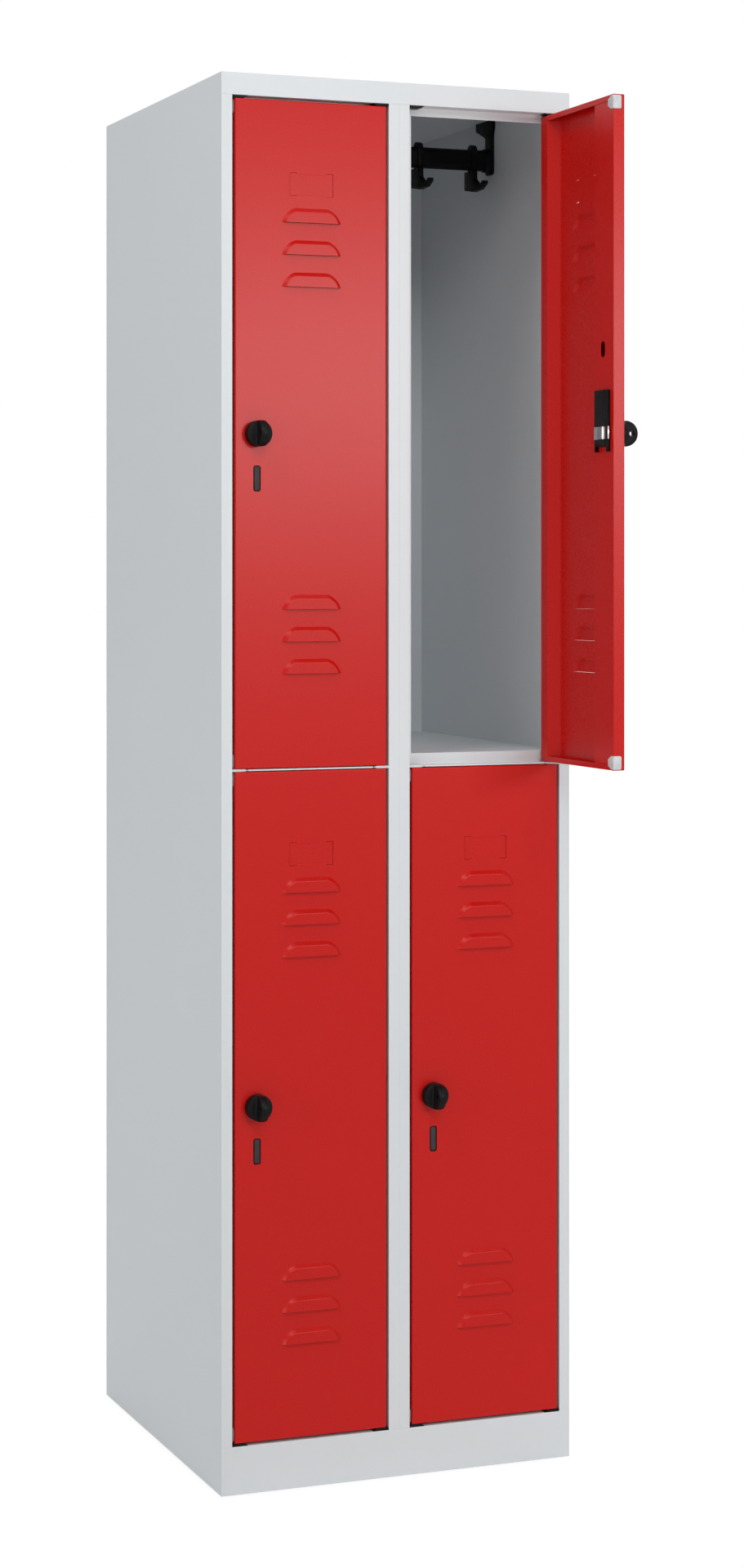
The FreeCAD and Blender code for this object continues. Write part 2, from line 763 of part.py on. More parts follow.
def door_louvres(body):
    """Hoods pressed out of the door, open along their lower edges, in two groups."""
    rise = cell("louvre_rise")
    lift = cell("louvre_lift")
    place = (door_centre, lift)
    sections = []
    for back_off in (0, sheet):
        near = sketch_on(body, "XZ_Plane", face + back_off, place)
        draw_hood(near, as_size(0))
        far = sketch_on(body, "XZ_Plane", face - rise + back_off, place)
        draw_hood(far, cell("louvre_slope"))
        sections.append((near, far))
    hood = loft(body, "AdditiveLoft", *sections[0])
    hollow = loft(body, "SubtractiveLoft", *sections[1])
    pattern = body.newObject("PartDesign::LinearPattern", "louvre_rows")
    pattern.Originals = [hood, hollow]
    pattern.Direction = (sections[0][0], ["V_Axis"])
    pattern.Occurrences = 3
    bind(pattern, "Length", 2 * cell("louvre_pitch"))
    pattern.Direction2 = (sections[0][0], ["V_Axis"])
    pattern.Occurrences2 = 2
    top_group = door_height - cell("louvre_drop") - cell("louvre_height") - 2 * cell("louvre_pitch")
    bind(pattern, "Length2", top_group - lift)
    body.Tip = pattern
    doc.recompute()
    mouths = [start + row * cell("louvre_pitch") for start in (lift, top_group) for row in range(3)]

    def bent(edge):
        return lies_at(edge, y=face - rise) and not any(lies_at(edge, z=mouth) for mouth in mouths)

    round_edges(body, cell("louvre_round"), bent)


def label_holder(body):
    """A panel pressed back from the door between slits, so that a label's ends tuck in behind the door."""
    half = cell("label_width") / 2
    inner = half - cell("label_arm")
    slit = cell("label_slit")
    step = cell("label_step")
    depth = cell("label_depth")
    top = door_height - cell("label_drop")
    bottom = top - cell("label_height")
    place = (door_centre, 0)
    boss = sketch_on(body, "XZ_Plane", face_back, place)
    draw_box(boss, -inner, bottom, inner, top)
    pad(body, boss, depth, True)
    panel = sketch_on(body, "XZ_Plane", face + depth, place)
    draw_box(panel, -half, bottom, half, top)
    pad(body, panel, sheet, True)
    opening = sketch_on(body, "XZ_Plane", face, place)
    corners = [
        (-half, bottom),
        (-inner, bottom),
        (-inner, bottom + step),
        (inner, bottom + step),
        (inner, bottom),
        (half, bottom),
        (half, top),
        (inner, top),
        (inner, top - step),
        (-inner, top - step),
        (-inner, top),
        (-half, top),
    ]
    draw(opening, corners)
    pocket(body, opening, depth)
    slits = sketch_on(body, "XZ_Plane", face, place)
    for side in (-1, 1):
        corners = [
            (side * inner, bottom),
            (side * half, bottom),
            (side * half, top),
            (side * inner, top),
            (side * inner, top - slit),
            (side * (half - slit), top - slit),
            (side * (half - slit), bottom + slit),
            (side * inner, bottom + slit),
        ]
        draw(slits, corners)
    pocket(body, slits, depth + sheet)

    def bent(edge):
        return any(lies_at(edge, y=face, z=z) for z in (bottom + step, top - step))

    round_edges(body, cell("label_round"), bent)


def door_panel():
    """Pressed steel pan of a door, with its returns, louvres and holes."""
    body = new_body("door_panel")
    outline = sketch_on(body, "XZ_Plane", inner_face)
    draw_box(outline, lock_edge, 0, hinge_edge, door_height)
    pad(body, outline, door_thick)
    round_edges(body, cell("door_round"), lambda edge: lies_at(edge, y=face))
    inside = sketch_on(body, "XZ_Plane", inner_face)
    draw_box(inside, lock_edge + sheet, sheet, hinge_edge - sheet, door_height - sheet)
    pocket(body, inside, door_thick - sheet, True)
    lock_wall = lock_edge + sheet
    lip_edge = hinge_edge - cell("hinge_lip")
    end_lip = cell("end_lip")
    returns = sketch_on(body, "XZ_Plane", inner_face)
    corners = [
        (lock_wall, sheet),
        (hinge_edge - sheet, sheet),
        (hinge_edge - sheet, door_height - sheet),
        (lock_wall, door_height - sheet),
        (lock_wall, door_height - end_lip),
        (lip_edge, door_height - end_lip),
        (lip_edge, end_lip),
        (lock_wall, end_lip),
    ]
    draw(returns, corners)
    pad(body, returns, sheet)
    box_wall = sketch_on(body, "XY_Plane", sheet)
    foot_edge = lip_edge - cell("box_slant")
    corners = [
        (lip_edge, inner_face),
        (foot_edge, face_back),
        (foot_edge + sheet, face_back),
        (lip_edge + sheet, inner_face),
    ]
    draw(box_wall, corners)
    pad(body, box_wall, door_height - 2 * sheet)
    door_louvres(body)
    label_holder(body)
    holes = sketch_on(body, "XZ_Plane", face, (knob_x, knob_z))
    draw_circle(holes, 0, 0, cell("spindle_radius") + running_gap)
    draw_slot(holes, as_size(0), -cell("slot_drop"), as_size(0))
    pocket(body, holes, sheet)
    pin_hole = sketch_on(body, "XY_Plane", 0)
    draw_circle(pin_hole, 0, 0, pin_radius + running_gap)
    pocket(body, pin_hole, door_height, True)
    return body


def door_stiffener():
    """Folded channel behind the lock side of a door."""
    body = new_body("door_stiffener")
    root = lock_edge + sheet
    edge = lock_edge + cell("stiffener_width")
    flange = edge + cell("stiffener_flange")
    end = cell("end_lip") + cell("stiffener_gap")
    fold = sketch_on(body, "XY_Plane", end)
    corners = [
        (root, inner_face - sheet),
        (edge - sheet, inner_face - sheet),
        (edge - sheet, face_back),
        (flange, face_back),
        (flange, face_back + sheet),
        (edge, face_back + sheet),
        (edge, inner_face),
        (root, inner_face),
    ]
    draw(fold, corners)
    pad(body, fold, door_height - 2 * end)
    holes = sketch_on(body, "XZ_Plane", inner_face, (knob_x, knob_z))
    draw_circle(holes, 0, 0, cell("spindle_radius") + running_gap)
    oval_radius = cell("oval_width") / 2
    draw_oval(holes, as_size(0), cell("oval_rise"), oval_radius, cell("oval_height") / 2 - oval_radius)
    pocket(body, holes, sheet, True)
    round_edges(body, cell("fold_round"), lambda edge_: lies_at(edge_, x=edge, y=inner_face))
    return body


def slot_plug():
    """Plastic plug in the slot below the knob, held by its edge behind the door."""
    body = new_body("slot_plug")
    place = (knob_x, knob_z - cell("slot_drop"))
    zero = as_size(0)
    shank = sketch_on(body, "XZ_Plane", face_back, place)
    draw_slot(shank, zero, zero, zero)
    pad(body, shank, sheet - cell("plug_setback"))
    bar = sketch_on(body, "XZ_Plane", face_back, place)
    draw_slot(bar, zero, zero, -cell("plug_border"))
    pad(body, bar, sheet - cell("plug_bar"))
    edge = sketch_on(body, "XZ_Plane", face_back, place)
    draw_slot(edge, zero, zero, cell("plug_flange"))
    pad(body, edge, cell("plug_backing"), True)
    return body


# Latch planes behind a door: the bolt runs just behind the carcass's door stop on the lock side
bolt_near = face + lock_stop_depth + cell("bolt_gap")
bolt_far = bolt_near + cell("bolt_thick")
housing_base = bolt_near - cell("bolt_play")
housing_back = bolt_near + cell("housing_rim")
bolt_half = cell("bolt_height") / 2
channel_half = bolt_half + cell("bolt_play")


def lock_housing():
    """Moulded guide for the latch bolt, on the inner face of a door."""
    body = new_body("lock_housing")
    middle = -cell("housing_shift")
    half = cell("housing_width") / 2
    lock_side = middle - half
    hinge_side = middle + half
    top = cell("housing_rise")
    bottom = -cell("housing_drop")
    fork = cell("fork_width") / 2
    fork_top = bottom + cell("fork_height")
    place = (knob_x, knob_z)
    base = sketch_on(body, "XZ_Plane", inner_face, place)
    draw_box(base, lock_side, -channel_half, hinge_side, channel_half)
    draw_circle(base, 0, 0, cell("spindle_radius") + running_gap)
    pad(body, base, housing_base - inner_face, True)
    rim = sketch_on(body, "XZ_Plane", inner_face, place)
    draw_box(rim, lock_side, channel_half, hinge_side, top)
    corners = [
        (lock_side, bottom),
        (middle - fork, bottom),
        (middle - fork, fork_top),
        (middle + fork, fork_top),
        (middle + fork, bottom),
        (hinge_side, bottom),
        (hinge_side, -channel_half),
        (lock_side, -channel_half),
    ]
    draw(rim, corners)
    pad(body, rim, housing_back - inner_face, True)
    strap = sketch_on(body, "XZ_Plane", bolt_far + cell("bolt_play"), place)
    strap_edge = lock_side + cell("strap_width")
    draw_box(strap, lock_side, -channel_half - sheet, strap_edge, channel_half + sheet)
    pad(body, strap, cell("strap_thick"), True)
    return body


def turn_knob():
    """Round-ended knob scooped to an upright fin, with its spindle and drive pin."""
    body = new_body("turn_knob")
    spindle = cell("spindle_radius")
    radius = cell("knob_radius")
    seat = face - cell("knob_gap")
    ball = face - cell("knob_reach")
    inner_end = housing_base - cell("bolt_play")
    profile = sketch_on(body, "XY_Plane", knob_z, (knob_x, 0))
    corners = [
        (0, ball - radius, (0, ball)),
        (radius, ball),
        (radius, seat),
        (spindle, seat),
        (spindle, inner_end),
        (0, inner_end),
    ]
    draw(profile, corners)
    turned = body.newObject("PartDesign::Revolution", "turn_knob_ball")
    turned.Profile = profile
    turned.ReferenceAxis = (profile, ["V_Axis"])
    turned.Angle = 2 * HALF_TURN
    doc.recompute()
    scoop = cell("knob_scoop")
    scoops = sketch_on(body, "XY_Plane", knob_z - radius, (knob_x, 0))
    fin = cell("knob_fin") / 2
    beyond = ball - radius - scoop
    root = face - cell("knob_base")
    aside = radius + scoop
    right = [
        (fin, beyond),
        (aside, beyond),
        (aside, root),
        (fin + scoop, root, (fin + scoop, root - scoop)),
        (fin, root - scoop),
    ]
    left = [
        (-fin, beyond),
        (-fin, root - scoop, (-fin - scoop, root - scoop)),
        (-fin - scoop, root),
        (-aside, root),
        (-aside, beyond),
    ]
    draw(scoops, right)
    draw(scoops, left)
    pocket(body, scoops, 2 * radius, True)
    hole = sketch_on(body, "YZ_Plane", knob_x - radius, (0, knob_z))
    draw_circle(hole, face - cell("padlock_reach"), 0, cell("padlock_radius"))
    pocket(body, hole, 2 * radius, True)
    throw = cell("drive_throw") * math.sqrt(0.5)
    pin = sketch_on(body, "XZ_Plane", inner_end, (knob_x, knob_z))
    draw_circle(pin, throw, -throw, cell("drive_radius"))
    pad(body, pin, bolt_far - inner_end, True)
    return body


def latch_bolt():
    """Sliding bolt with a raised block, driven by the knob's pin through an upright slot."""
    body = new_body("latch_bolt")
    throw = cell("drive_throw") * math.sqrt(0.5)
    tip = stop_edge + cell("bolt_clear") - knob_x
    tail = cell("bolt_tail")
    place = (knob_x, knob_z)
    bar = sketch_on(body, "XZ_Plane", bolt_near, place)
    draw_box(bar, tip, -bolt_half, tail, bolt_half)
    pad(body, bar, cell("bolt_thick"), True)
    block = sketch_on(body, "XY_Plane", knob_z - bolt_half, (knob_x, 0))
    block_far = bolt_far + cell("grip_rise")
    foot = tail - cell("grip_length")
    corners = [
        (foot, bolt_far),
        (tail, bolt_far),
        (tail, block_far),
        (foot + cell("grip_slope"), block_far),
    ]
    draw(block, corners)
    pad(body, block, cell("bolt_height"))
    slot = sketch_on(body, "XZ_Plane", bolt_near, place)
    slot_radius = cell("drive_radius") + cell("drive_gap")
    reach = cell("drive_throw") - throw
    draw_oval(slot, throw, -throw - reach / 2, slot_radius, reach / 2 + cell("drive_gap"))
    pocket(body, slot, cell("bolt_thick") + cell("drive_gap"))
    return body


def corner_cap():
    """Cap clipped over the lock edge at a corner of a door: a plate on each of its two faces."""
    body = new_body("corner_cap")
    thick = cell("cap_thick")
    top = cell("cap_height")
    outside = lock_edge - thick
    edge = lock_edge + cell("cap_width")
    run = cell("cap_cut_run")
    rise = cell("cap_cut_rise")
    inner_plate = sketch_on(body, "XZ_Plane", inner_face)
    corners = [
        (outside, 0),
        (edge - run, 0),
        (edge, rise),
        (edge, top - rise),
        (edge - run, top),
        (outside, top),
    ]
    draw(inner_plate, corners)
    pad(body, inner_plate, thick, True)
    wrap = inner_face - cell("cap_wrap")
    nick = cell("cap_nick")
    back = inner_face + thick
    edge_plate = sketch_on(body, "YZ_Plane", outside)
    corners = [
        (wrap, nick),
        (wrap + nick, 0),
        (back, 0),
        (back, top),
        (wrap + nick, top),
        (wrap, top - nick),
    ]
    draw(edge_plate, corners)
    pad(body, edge_plate, thick)
    return body


def doors():
    """The pieces of all four doors, each door turned about its hinge axis."""
    zero = as_size(0)
    single = {
        "panel": door_panel(),
        "stiffener": door_stiffener(),
        "slot_plug": slot_plug(),
        "lock_housing": lock_housing(),
        "knob": turn_knob(),
        "latch_bolt": latch_bolt(),
    }
    cap = corner_cap()
    inset = cell("cap_inset")
    lower_cap = instance(cap, (zero, zero, inset))
    upper_cap = instance(cap, (zero, zero, door_height - inset - cell("cap_height")))
    caps = doc.addObject("Part::Compound", "corner_cap_pair")
    caps.Links = [lower_cap, upper_cap]
    for door in DOORS:
        tier, column = door.split("_")
        spot = (hinge_x[column], hinge_y, door_bottom[tier])
        turn = Rotation(ALONG_Z, cell("open_angle").number) if door == OPEN_DOOR else Rotation()
        for piece, source in single.items():
            keep(f"{door}_door_{piece}", instance(source, spot, turn))
        keep(f"{door}_door_corner_caps", instance(caps, spot, turn))


def coat_rail():
    """Oval tube between the brackets of one compartment, centred on its middle."""
    body = new_body("coat_rail")
    length = bay_length - 2 * cell("bracket_thick")
    wall = cell("rail_wall")
    section = sketch_on(body, "YZ_Plane", -length / 2)
    zero = as_size(0)
    draw_oval(section, zero, zero, rail_radius, rail_straight)
    draw_oval(section, zero, zero, rail_radius - wall, rail_straight)
    pad(body, section, length)
    return body


def rail_bracket(name, wall_side):
    """Hanger plate of a rail, flat on the wall at x 0, with a socket around the rail's end."""
    body = new_body(name)
    waist = cell("bracket_waist") / 2
    drop = cell("rail_drop")
    foot = -cell("bracket_foot")
    flare = cell("bracket_flare")
    brow = -cell("bracket_brow")
    neck = drop - cell("bracket_neck")
    edge = drop - cell("bracket_edge")
    thick = cell("bracket_thick")
    plate = sketch_on(body, "YZ_Plane", 0)
    corners = [
        (-waist, foot),
        (waist, foot),
        (waist, neck),
        (flare, edge),
        (flare, drop),
        (brow, drop),
        (brow, edge),
        (-waist, neck),
    ]
    draw(plate, corners)
    leftward = wall_side > 0
    pad(body, plate, thick, leftward)
    zero = as_size(0)

    def bend(line):
        places = ((-waist, foot), (waist, foot), (waist, neck), (flare, edge), (brow, edge), (-waist, neck))
        return any(lies_at(line, y=y, z=z) for y, z in places)

    round_edges(body, cell("bracket_round"), bend)
    socket = sketch_on(body, "YZ_Plane", -wall_side * thick)
    hole = rail_radius + cell("collar_gap")
    draw_oval(socket, zero, zero, hole + cell("collar_wall"), rail_straight)
    draw_oval(socket, zero, zero, hole, rail_straight)
    pad(body, socket, cell("collar_length"), leftward)
    return body


def coat_hook():
    """Plate that slides on the rail by its ring, with one prong to the front, centred on the rail."""
    body = new_body("coat_hook")
    width = cell("hook_width")
    zero = as_size(0)
    hole = rail_radius + cell("hook_gap")
    outer = hole + cell("hook_wall")
    crown = rail_straight + cell("hook_crown")
    ring = sketch_on(body, "YZ_Plane", -width / 2)
    corners = [
        (outer, crown, (zero, crown)),
        (-outer, crown),
        (-outer, -rail_straight, (zero, -rail_straight)),
        (outer, -rail_straight),
    ]
    draw(ring, corners)
    draw_oval(ring, zero, zero, hole, rail_straight)
    pad(body, ring, width)
    back = cell("hook_back")
    fall = -cell("hook_fall")
    heel = -cell("hook_heel")
    lean = -cell("hook_lean")
    throat = -cell("hook_throat")
    tip = -cell("hook_tip")
    reach = -cell("hook_reach")
    prong = cell("hook_prong")
    root = -rail_straight - hole
    stem = -outer
    outline = [
        (stem, fall),
        (back, heel),
        (back, root),
        (stem, root),
        (stem, lean),
        ((stem + reach) / 2, throat),
        (reach + prong, tip),
        (reach, tip),
        (reach, tip - prong),
        (reach + 3 * prong, fall + prong / 3),
    ]
    hook = sketch_on(body, "YZ_Plane", -width / 2)
    draw(hook, outline)
    pad(body, hook, width)

    def bend(edge):
        return any(lies_at(edge, y=y, z=z) for index, (y, z) in enumerate(outline) if index not in (2, 3))

    round_edges(body, cell("hook_round"), bend)
    return body


def coat_rails_and_hooks():
    """Rails, brackets and hooks of the four compartments."""
    rail = coat_rail()
    left_bracket = rail_bracket("left_rail_bracket", -1)
    right_bracket = rail_bracket("right_rail_bracket", 1)
    hook = coat_hook()
    zero = as_size(0)
    rails = []
    brackets = []
    for door in DOORS:
        tier, column = door.split("_")
        left, right = bay_walls[column]
        middle = (left + right) / 2
        level = compartment_ceiling[tier] - cell("rail_drop")
        rails.append(instance(rail, (middle, zero, level)))
        brackets.append(instance(left_bracket, (left, zero, level)))
        brackets.append(instance(right_bracket, (right, zero, level)))
        for place, step in HOOK_PLACES.items():
            spot = (middle + cell("hook_shift") + step * cell("hook_pitch"), zero, level)
            keep(f"{door}_coat_hook_{place}", instance(hook, spot))
    group("coat_rails", rails)
    group("rail_brackets", brackets)


def levelling_foot():
    """Disc and stud of a foot, turned about its axis, standing on z 0."""
    body = new_body("levelling_foot_turned")
    disc = cell("foot_radius")
    stud = cell("stud_radius")
    disc_top = foot_gap - cell("foot_play")
    profile = sketch_on(body, "XZ_Plane", 0)
    top = disc_top + cell("stud_length")
    draw(profile, [(0, 0), (disc, 0), (disc, disc_top), (stud, disc_top), (stud, top), (0, top)])
    turned = body.newObject("PartDesign::Revolution", "foot_turning")
    turned.Profile = profile
    turned.ReferenceAxis = (profile, ["V_Axis"])
    turned.Angle = 2 * HALF_TURN
    doc.recompute()
    return body


def weld_nut():
    """Round nut on a base flange, with its lower face on z 0."""
    body = new_body("weld_nut")
    outline = sketch_on(body, "XY_Plane", 0)
    draw_circle(outline, 0, 0, cell("nut_radius"))
    draw_circle(outline, 0, 0, cell("stud_radius") + running_gap)
    pad(body, outline, cell("nut_height"))
    return body


def feet():
    """Four levelling feet and the nuts that they turn in."""
    foot = levelling_foot()
    nut = weld_nut()
    zero = as_size(0)
    nuts = []
    for place, (side, end) in FOOT_PLACES.items():
        x = side * (half_width - cell("foot_inset"))
        y = end * (half_depth - cell("foot_inset"))
        keep(f"levelling_foot_{place}", instance(foot, (x, y, zero)))
        nuts.append(instance(nut, (x, y, foot_gap + sheet)))
    group("foot_nuts", nuts)


def build():
    """All sub-parts of the locker."""
    fold_round = cell("fold_round")
    seam_round = cell("seam_round")
    side_wall = {"front": front, "back": half_depth, "bottom": foot_gap, "top": height}
    upright("left_side_panel", -half_width, 1, side_wall, lock_stop_depth, fold_round)
    upright("right_side_panel", half_width, -1, side_wall, stop_depth, fold_round)
    inner_wall = {"front": stop_back, "back": inner_back, "bottom": floor_top, "top": ceiling}
    upright("centre_partition_left", as_size(0), -1, inner_wall, stop_depth, seam_round)
    upright("centre_partition_right", as_size(0), 1, inner_wall, lock_stop_depth, seam_round)
    top_panel()
    plinth_panel()
    back_panel()
    tray("floor_pan", -inner_half, inner_length, floor_top, cell("floor_flange"))
    for column in bay_walls:
        middle_shelf(column)
    corner_blocks()
    hinge_pins()
    doors()
    coat_rails_and_hooks()
    feet()


def check_document():
    """Stop before anything is written if a feature or a sub-part has failed."""
    for thing in doc.Objects:
        if "Invalid" in thing.State or "Error" in thing.State:
            raise RuntimeError(f"{thing.Name} failed: {thing.State}")
    for label, thing in nodes.items():
        if thing.Shape.isNull() or not thing.Shape.isValid() or not thing.Shape.Solids:
            raise RuntimeError(f"{label} has no valid shape")


build()
doc.recompute()
check_document()
os.makedirs("parts", exist_ok=True)
for label, thing in nodes.items():
    thing.Shape.exportStep(f"parts/{label}.step")
print(f"{len(nodes)} sub-parts written")
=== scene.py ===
"""Looks of a double-tier locker: paint, plastic and plated finishes, rounded mouldings and a studio."""

import json
import logging
import math
from collections.abc import Iterable
from dataclasses import dataclass
from enum import Enum

import bpy
from bpy.types import Material, NodeSocket, Object
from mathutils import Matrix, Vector

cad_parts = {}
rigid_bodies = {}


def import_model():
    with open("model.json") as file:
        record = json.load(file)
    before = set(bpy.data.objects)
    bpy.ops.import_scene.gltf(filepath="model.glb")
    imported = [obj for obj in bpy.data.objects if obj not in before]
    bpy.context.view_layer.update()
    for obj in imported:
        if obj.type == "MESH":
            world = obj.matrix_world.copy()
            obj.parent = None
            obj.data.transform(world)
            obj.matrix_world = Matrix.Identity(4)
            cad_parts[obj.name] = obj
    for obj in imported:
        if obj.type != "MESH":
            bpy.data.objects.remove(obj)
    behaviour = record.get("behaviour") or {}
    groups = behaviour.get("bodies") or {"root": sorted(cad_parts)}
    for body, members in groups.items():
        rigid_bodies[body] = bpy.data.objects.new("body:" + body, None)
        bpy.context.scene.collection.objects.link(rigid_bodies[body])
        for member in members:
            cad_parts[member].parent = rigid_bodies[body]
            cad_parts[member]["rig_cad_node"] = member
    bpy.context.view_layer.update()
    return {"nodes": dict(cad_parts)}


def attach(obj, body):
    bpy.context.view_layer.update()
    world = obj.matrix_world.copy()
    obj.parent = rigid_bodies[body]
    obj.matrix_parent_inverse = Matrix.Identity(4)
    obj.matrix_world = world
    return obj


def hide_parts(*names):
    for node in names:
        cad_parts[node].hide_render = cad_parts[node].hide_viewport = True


LOG = logging.getLogger("locker")

Colour = tuple[float, float, float]
Point = tuple[float, float, float]

MM = 0.001
MERGE_DISTANCE = 1e-6
SMOOTH_ANGLE = math.radians(32)
FLAT_ANGLE = math.radians(0.5)
LEVEL_PITCH = math.radians(90)
NOISE_LOW = 0.3
NOISE_HIGH = 0.7
WHITE = (1.0, 1.0, 1.0, 1.0)

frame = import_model()


class Tier(Enum):
    """Rows of compartments."""

    UPPER = "upper"
    LOWER = "lower"


class Column(Enum):
    """Columns of compartments, seen from the front."""

    LEFT = "left"
    RIGHT = "right"


OPEN_DOOR = (Tier.UPPER, Column.RIGHT)


class Slot(Enum):
    """Material slots of the record."""

    CARCASS = "carcass_grey"
    DOOR = "door_red"
    BLACK = "black_plastic"
    LIGHT = "light_plastic"
    CHROME = "bolt_chrome"
    STEEL = "pin_steel"


class ShaderTree:
    """Node tree of one material, around a Principled shader that reads Object coordinates."""

    def __init__(self, name: str) -> None:
        """Start a material with its shader and its coordinates.

        Args:
            name: Name of the material.
        """
        self.material = bpy.data.materials.new(name)
        self.material.use_nodes = True
        self.nodes = self.material.node_tree.nodes
        self.links = self.material.node_tree.links
        self.nodes.clear()
        self.shader = self.nodes.new("ShaderNodeBsdfPrincipled")
        output = self.nodes.new("ShaderNodeOutputMaterial")
        self.links.new(self.shader.outputs["BSDF"], output.inputs["Surface"])
        self.place = self.nodes.new("ShaderNodeTexCoord").outputs["Object"]

    def put(self, socket: str, value: float | NodeSocket) -> None:
        """Set or feed a socket of the shader.

        Args:
            socket: Name of the socket.
            value: A number to set, or the output that feeds it.
        """
        target = self.shader.inputs[socket]
        if isinstance(value, NodeSocket):
            self.links.new(value, target)
        else:
            target.default_value = value

    def stretched(self, stretch: Point) -> NodeSocket:
        """Object coordinates scaled along each axis.

        Args:
            stretch: Scale along X, Y and Z.

        Returns:
            The scaled coordinates.
        """
        mapping = self.nodes.new("ShaderNodeMapping")
        mapping.inputs["Scale"].default_value = stretch
        self.links.new(self.place, mapping.inputs["Vector"])
        return mapping.outputs["Vector"]

    def noise(self, scale: float, detail: float = 2.0, stretch: Point | None = None) -> NodeSocket:
        """Noise over the piece.

        Args:
            scale: Cells per metre.
            detail: Octaves of finer noise.
            stretch: Scale along X, Y and Z for a pattern with a direction.

        Returns:
            The noise as a number around one half.
        """
        texture = self.nodes.new("ShaderNodeTexNoise")
        texture.inputs["Scale"].default_value = scale
        texture.inputs["Detail"].default_value = detail
        self.links.new(self.stretched(stretch) if stretch else self.place, texture.inputs["Vector"])
        return texture.outputs["Fac"]

    def spread(self, source: NodeSocket, low: float, high: float) -> NodeSocket:
        """A noise's middle range mapped to a range of values.

        Args:
            source: The noise.
            low: Value where the noise is low.
            high: Value where the noise is high.

        Returns:
            The mapped number.
        """
        ranges = self.nodes.new("ShaderNodeMapRange")
        ranges.inputs["From Min"].default_value = NOISE_LOW
        ranges.inputs["From Max"].default_value = NOISE_HIGH
        ranges.inputs["To Min"].default_value = low
        ranges.inputs["To Max"].default_value = high
        self.links.new(source, ranges.inputs["Value"])
        return ranges.outputs["Result"]

    def tint(self, source: NodeSocket, dark: Colour, light: Colour) -> NodeSocket:
        """A colour that wanders between two shades.

        Args:
            source: Number that chooses the shade.
            dark: Shade where it is low.
            light: Shade where it is high.

        Returns:
            The mixed colour.
        """
        ramp = self.nodes.new("ShaderNodeValToRGB")
        stops = ((NOISE_LOW, dark), (NOISE_HIGH, light))
        for element, (position, colour) in zip(ramp.color_ramp.elements, stops):
            element.position = position
            element.color = (*colour, 1.0)
        self.links.new(source, ramp.inputs["Fac"])
        return ramp.outputs["Color"]

    def relief(self, height: NodeSocket, depth: float, under: NodeSocket | None = None) -> NodeSocket:
        """A bump of the surface.

        Args:
            height: Height of the surface from 0 to 1.
            depth: Depth of the bump in metres.
            under: Normal of a coarser bump below this one.

        Returns:
            The bumped normal.
        """
        bump = self.nodes.new("ShaderNodeBump")
        bump.inputs["Distance"].default_value = depth
        self.links.new(height, bump.inputs["Height"])
        if under is not None:
            self.links.new(under, bump.inputs["Normal"])
        return bump.outputs["Normal"]


def shade(colour: Colour, factor: float) -> Colour:
    """A colour made darker or lighter by a factor."""
    return tuple(min(1.0, channel * factor) for channel in colour)


@dataclass(frozen=True)
class Finish:
    """A surface finish, made into a material at its first use.

    Attributes:
        name: Name of the material.
        slot: Slot of the record that it belongs to; not used.
        colour: Linear base colour.
        roughness: Middle roughness.
    """

    name: str
    slot: Slot
    colour: Colour
    roughness: float

    def material(self) -> Material:
        """The finish's material, mixed once."""
        return bpy.data.materials.get(self.name) or self.mix()

    def mix(self) -> Material:
        """Build the material's nodes."""
        raise NotImplementedError

    def shades(self, drift: float) -> tuple[Colour, Colour]:
        """A darker and a lighter shade of the finish's colour."""
        return shade(self.colour, 1 - drift), shade(self.colour, 1 + drift)

    def dress(self, piece: Object) -> None:
        """Give a piece this finish and no other."""
        piece.data.materials.clear()
        piece.data.materials.append(self.material())


@dataclass(frozen=True)
class PowderCoat(Finish):
    """Baked powder paint: a faint orange peel with slow drifts of tone and gloss.

    Attributes:
        peel: Depth of the orange peel in metres.
        drift: Share by which the tone wanders.
        gloss: Specular level of the paint.
        cloud_scale: Drifts of tone per metre.
        peel_scale: Waves of the orange peel per metre.
        grain_scale: Cells of the fine grain per metre.
        grain_detail: Octaves of finer noise in the grain.
        grain_share: Depth of the fine grain as a share of the peel.
        haze_scale: Drifts of roughness per metre.
        haze: Amount by which the roughness wanders.
    """

    peel: float = 0.000007
    drift: float = 0.008
    gloss: float = 0.2
    cloud_scale: float = 2.2
    peel_scale: float = 420.0
    grain_scale: float = 1400.0
    grain_detail: float = 1.0
    grain_share: float = 0.25
    haze_scale: float = 900.0
    haze: float = 0.03

    def mix(self) -> Material:
        """Build the paint.

        Returns:
            The paint's material.
        """
        tree = ShaderTree(self.name)
        cloud = tree.noise(self.cloud_scale)
        grain = tree.noise(self.grain_scale, self.grain_detail)
        haze = tree.noise(self.haze_scale)
        tree.put("Base Color", tree.tint(cloud, *self.shades(self.drift)))
        tree.put("Roughness", tree.spread(haze, self.roughness - self.haze, self.roughness + self.haze))
        peel = tree.relief(tree.noise(self.peel_scale), self.peel)
        tree.put("Normal", tree.relief(grain, self.peel * self.grain_share, peel))
        tree.put("Specular IOR Level", self.gloss)
        return tree.material


